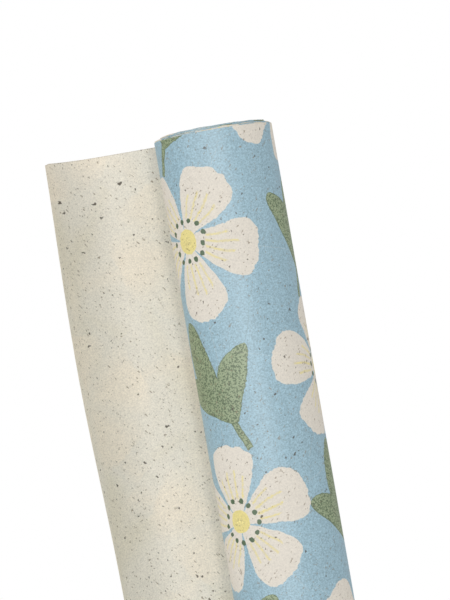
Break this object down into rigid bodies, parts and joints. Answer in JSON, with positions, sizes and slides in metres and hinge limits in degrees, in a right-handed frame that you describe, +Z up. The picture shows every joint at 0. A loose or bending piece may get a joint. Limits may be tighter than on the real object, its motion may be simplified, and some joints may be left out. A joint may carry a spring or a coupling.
{
  "type": "wrapping paper roll",
  "caption": "Roll of printed wrapping paper wound on a cardboard core, standing on its end, with the free end of the paper curling away as a tail.",
  "frame": {"origin": "centre of the bottom of the whole object's box, on the surface that the roll stands on", "axes": "+Z up along the roll's axis; the tail leaves the back of the roll (+Y side) towards -X and curls to the front (-Y), where its plain reverse shows"},
  "size_m": [0.0938, 0.0486, 0.7016],
  "materials": {
    "printed_paper": "matt",
    "cardboard": "matt",
    "glue": "satin"
  },
  "bodies": {
    "outer_wrap": {"outer_turns": "printed_paper"},
    "middle_wrap": {"middle_turns": "printed_paper"},
    "core_and_inner_wrap": {"core_tube": "cardboard", "glue_line": "glue", "inner_turns": "printed_paper"},
    "tail_01": {"tail_strip_01": "printed_paper"},
    "tail_02": {"tail_strip_02": "printed_paper"},
    "tail_03": {"tail_strip_03": "printed_paper"},
    "tail_04": {"tail_strip_04": "printed_paper"},
    "tail_05": {"tail_strip_05": "printed_paper"},
    "tail_06": {"tail_strip_06": "printed_paper"},
    "tail_07": {"tail_strip_07": "printed_paper"},
    "tail_08": {"tail_strip_08": "printed_paper"},
    "tail_09": {"tail_strip_09": "printed_paper"},
    "tail_10": {"tail_strip_10": "printed_paper"},
    "tail_11": {"tail_strip_11": "printed_paper"},
    "tail_12": {"tail_strip_12": "printed_paper"},
    "tail_13": {"tail_strip_13": "printed_paper"}
  },
  "joints": [
    {"name": "core_slide", "type": "slide", "parent": "outer_wrap", "child": "core_and_inner_wrap", "axis": [0, 0, 1], "range_m": [-0.0016, 0.012]},
    {"name": "middle_turns_slide", "type": "slide", "parent": "outer_wrap", "child": "middle_wrap", "axis": [0, 0, 1], "range_m": [-0.0008, 0.006]},
    {"name": "tail_wrap_01", "type": "hinge", "parent": "outer_wrap", "child": "tail_01", "pos_m": [0.02287, 0.02417, 0.35], "axis": [0, 0, 1], "range_deg": [-1.79, 7.17], "stiffness_Nm_per_rad": 0.004},
    {"name": "tail_wrap_02", "type": "hinge", "parent": "tail_01", "child": "tail_02", "pos_m": [0.01677, 0.02417, 0.35], "axis": [0, 0, 1], "range_deg": [-3.58, 14.33], "stiffness_Nm_per_rad": 0.004},
    {"name": "tail_wrap_03", "type": "hinge", "parent": "tail_02", "child": "tail_03", "pos_m": [0.01067, 0.02417, 0.35], "axis": [0, 0, 1], "range_deg": [-3.58, 14.33], "stiffness_Nm_per_rad": 0.004},
    {"name": "tail_wrap_04", "type": "hinge", "parent": "tail_03", "child": "tail_04", "pos_m": [0.00457, 0.02417, 0.35], "axis": [0, 0, 1], "range_deg": [-3.58, 14.33], "stiffness_Nm_per_rad": 0.004},
    {"name": "tail_wrap_05", "type": "hinge", "parent": "tail_04", "child": "tail_05", "pos_m": [-0.00153, 0.02417, 0.35], "axis": [0, 0, 1], "range_deg": [-3.58, 14.33], "stiffness_Nm_per_rad": 0.004},
    {"name": "tail_wrap_06", "type": "hinge", "parent": "tail_05", "child": "tail_06", "pos_m": [-0.00763, 0.02417, 0.35], "axis": [0, 0, 1], "range_deg": [-3.58, 14.33], "stiffness_Nm_per_rad": 0.004},
    {"name": "tail_wrap_07", "type": "hinge", "parent": "tail_06", "child": "tail_07", "pos_m": [-0.01373, 0.02417, 0.35], "axis": [0, 0, 1], "range_deg": [-3.58, 14.33], "stiffness_Nm_per_rad": 0.004},
    {"name": "tail_wrap_08", "type": "hinge", "parent": "tail_07", "child": "tail_08", "pos_m": [-0.01983, 0.02417, 0.35], "axis": [0, 0, 1], "range_deg": [-3.58, 14.33], "stiffness_Nm_per_rad": 0.004},
    {"name": "tip_curl_01", "type": "hinge", "parent": "tail_08", "child": "tail_09", "pos_m": [-0.02593, 0.02417, 0.35], "axis": [0, 0, 1], "range_deg": [-14.33, 0], "stiffness_Nm_per_rad": 0.004},
    {"name": "tip_curl_02", "type": "hinge", "parent": "tail_09", "child": "tail_10", "pos_m": [-0.03184, 0.02267, 0.35], "axis": [0, 0, 1], "range_deg": [-14.33, 0], "stiffness_Nm_per_rad": 0.004},
    {"name": "tip_curl_03", "type": "hinge", "parent": "tail_10", "child": "tail_11", "pos_m": [-0.03719, 0.01974, 0.35], "axis": [0, 0, 1], "range_deg": [-14.33, 0], "stiffness_Nm_per_rad": 0.004},
    {"name": "tip_curl_04", "type": "hinge", "parent": "tail_11", "child": "tail_12", "pos_m": [-0.04166, 0.01558, 0.35], "axis": [0, 0, 1], "range_deg": [-14.33, 0], "stiffness_Nm_per_rad": 0.004},
    {"name": "tip_curl_05", "type": "hinge", "parent": "tail_12", "child": "tail_13", "pos_m": [-0.04495, 0.01044, 0.35], "axis": [0, 0, 1], "range_deg": [-14.33, 0], "stiffness_Nm_per_rad": 0.004}
  ],
  "couplings": [
    {"joint": "middle_turns_slide", "follows": "core_slide", "ratio": 0.5},
    {"joint": "tail_wrap_02", "follows": "tail_wrap_01", "ratio": 2},
    {"joint": "tail_wrap_03", "follows": "tail_wrap_01", "ratio": 2},
    {"joint": "tail_wrap_04", "follows": "tail_wrap_01", "ratio": 2},
    {"joint": "tail_wrap_05", "follows": "tail_wrap_01", "ratio": 2},
    {"joint": "tail_wrap_06", "follows": "tail_wrap_01", "ratio": 2},
    {"joint": "tail_wrap_07", "follows": "tail_wrap_01", "ratio": 2},
    {"joint": "tail_wrap_08", "follows": "tail_wrap_01", "ratio": 2},
    {"joint": "tip_curl_02", "follows": "tip_curl_01", "ratio": 1},
    {"joint": "tip_curl_03", "follows": "tip_curl_01", "ratio": 1},
    {"joint": "tip_curl_04", "follows": "tip_curl_01", "ratio": 1},
    {"joint": "tip_curl_05", "follows": "tip_curl_01", "ratio": 1}
  ]
}
